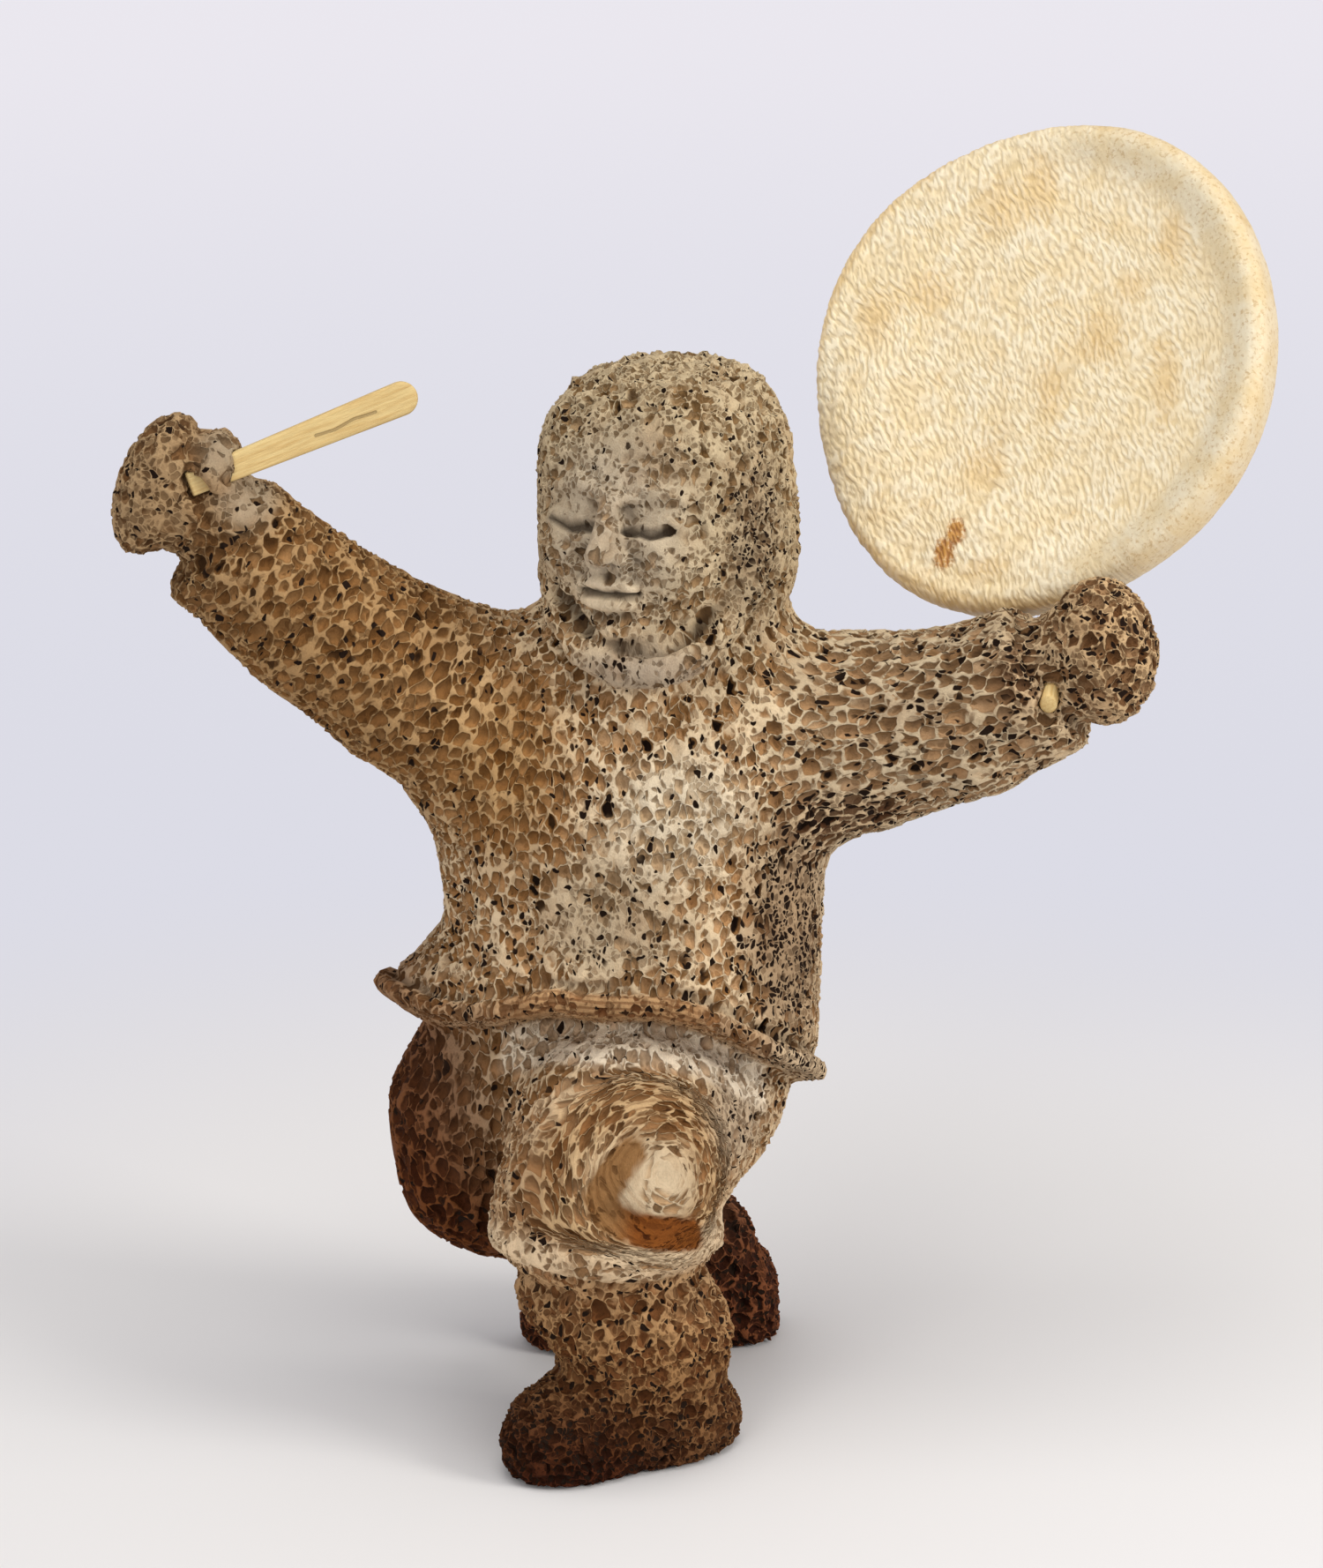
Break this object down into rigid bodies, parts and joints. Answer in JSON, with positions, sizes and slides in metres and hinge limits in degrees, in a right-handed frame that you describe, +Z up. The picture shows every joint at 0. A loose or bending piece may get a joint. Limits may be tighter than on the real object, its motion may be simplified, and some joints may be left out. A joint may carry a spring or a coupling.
{
  "type": "inuit drummer sculpture",
  "caption": "Hooded drum dancer carved from weathered whale bone, mid-step, with a flat beater in one mitt and a round skin drum raised in the other.",
  "frame": {"origin": "on the ground under the middle of the whole piece, drum and beater included", "axes": "+Z up; the dancer's chest and the drum face -Y, towards a viewer standing in front; +X is the dancer's left, the side of the drum"},
  "size_m": [0.3239, 0.1615, 0.3645],
  "materials": {
    "bone": "matte, porous",
    "beater_wood": "satin",
    "hide": "satin",
    "hoop_wood": "matte",
    "handle_wood": "satin"
  },
  "bodies": {
    "root": {"dancer": "bone", "beater": "beater_wood", "drum_hide": "hide", "drum_hoop": "hoop_wood", "drum_handle": "handle_wood"}
  },
  "joints": []
}
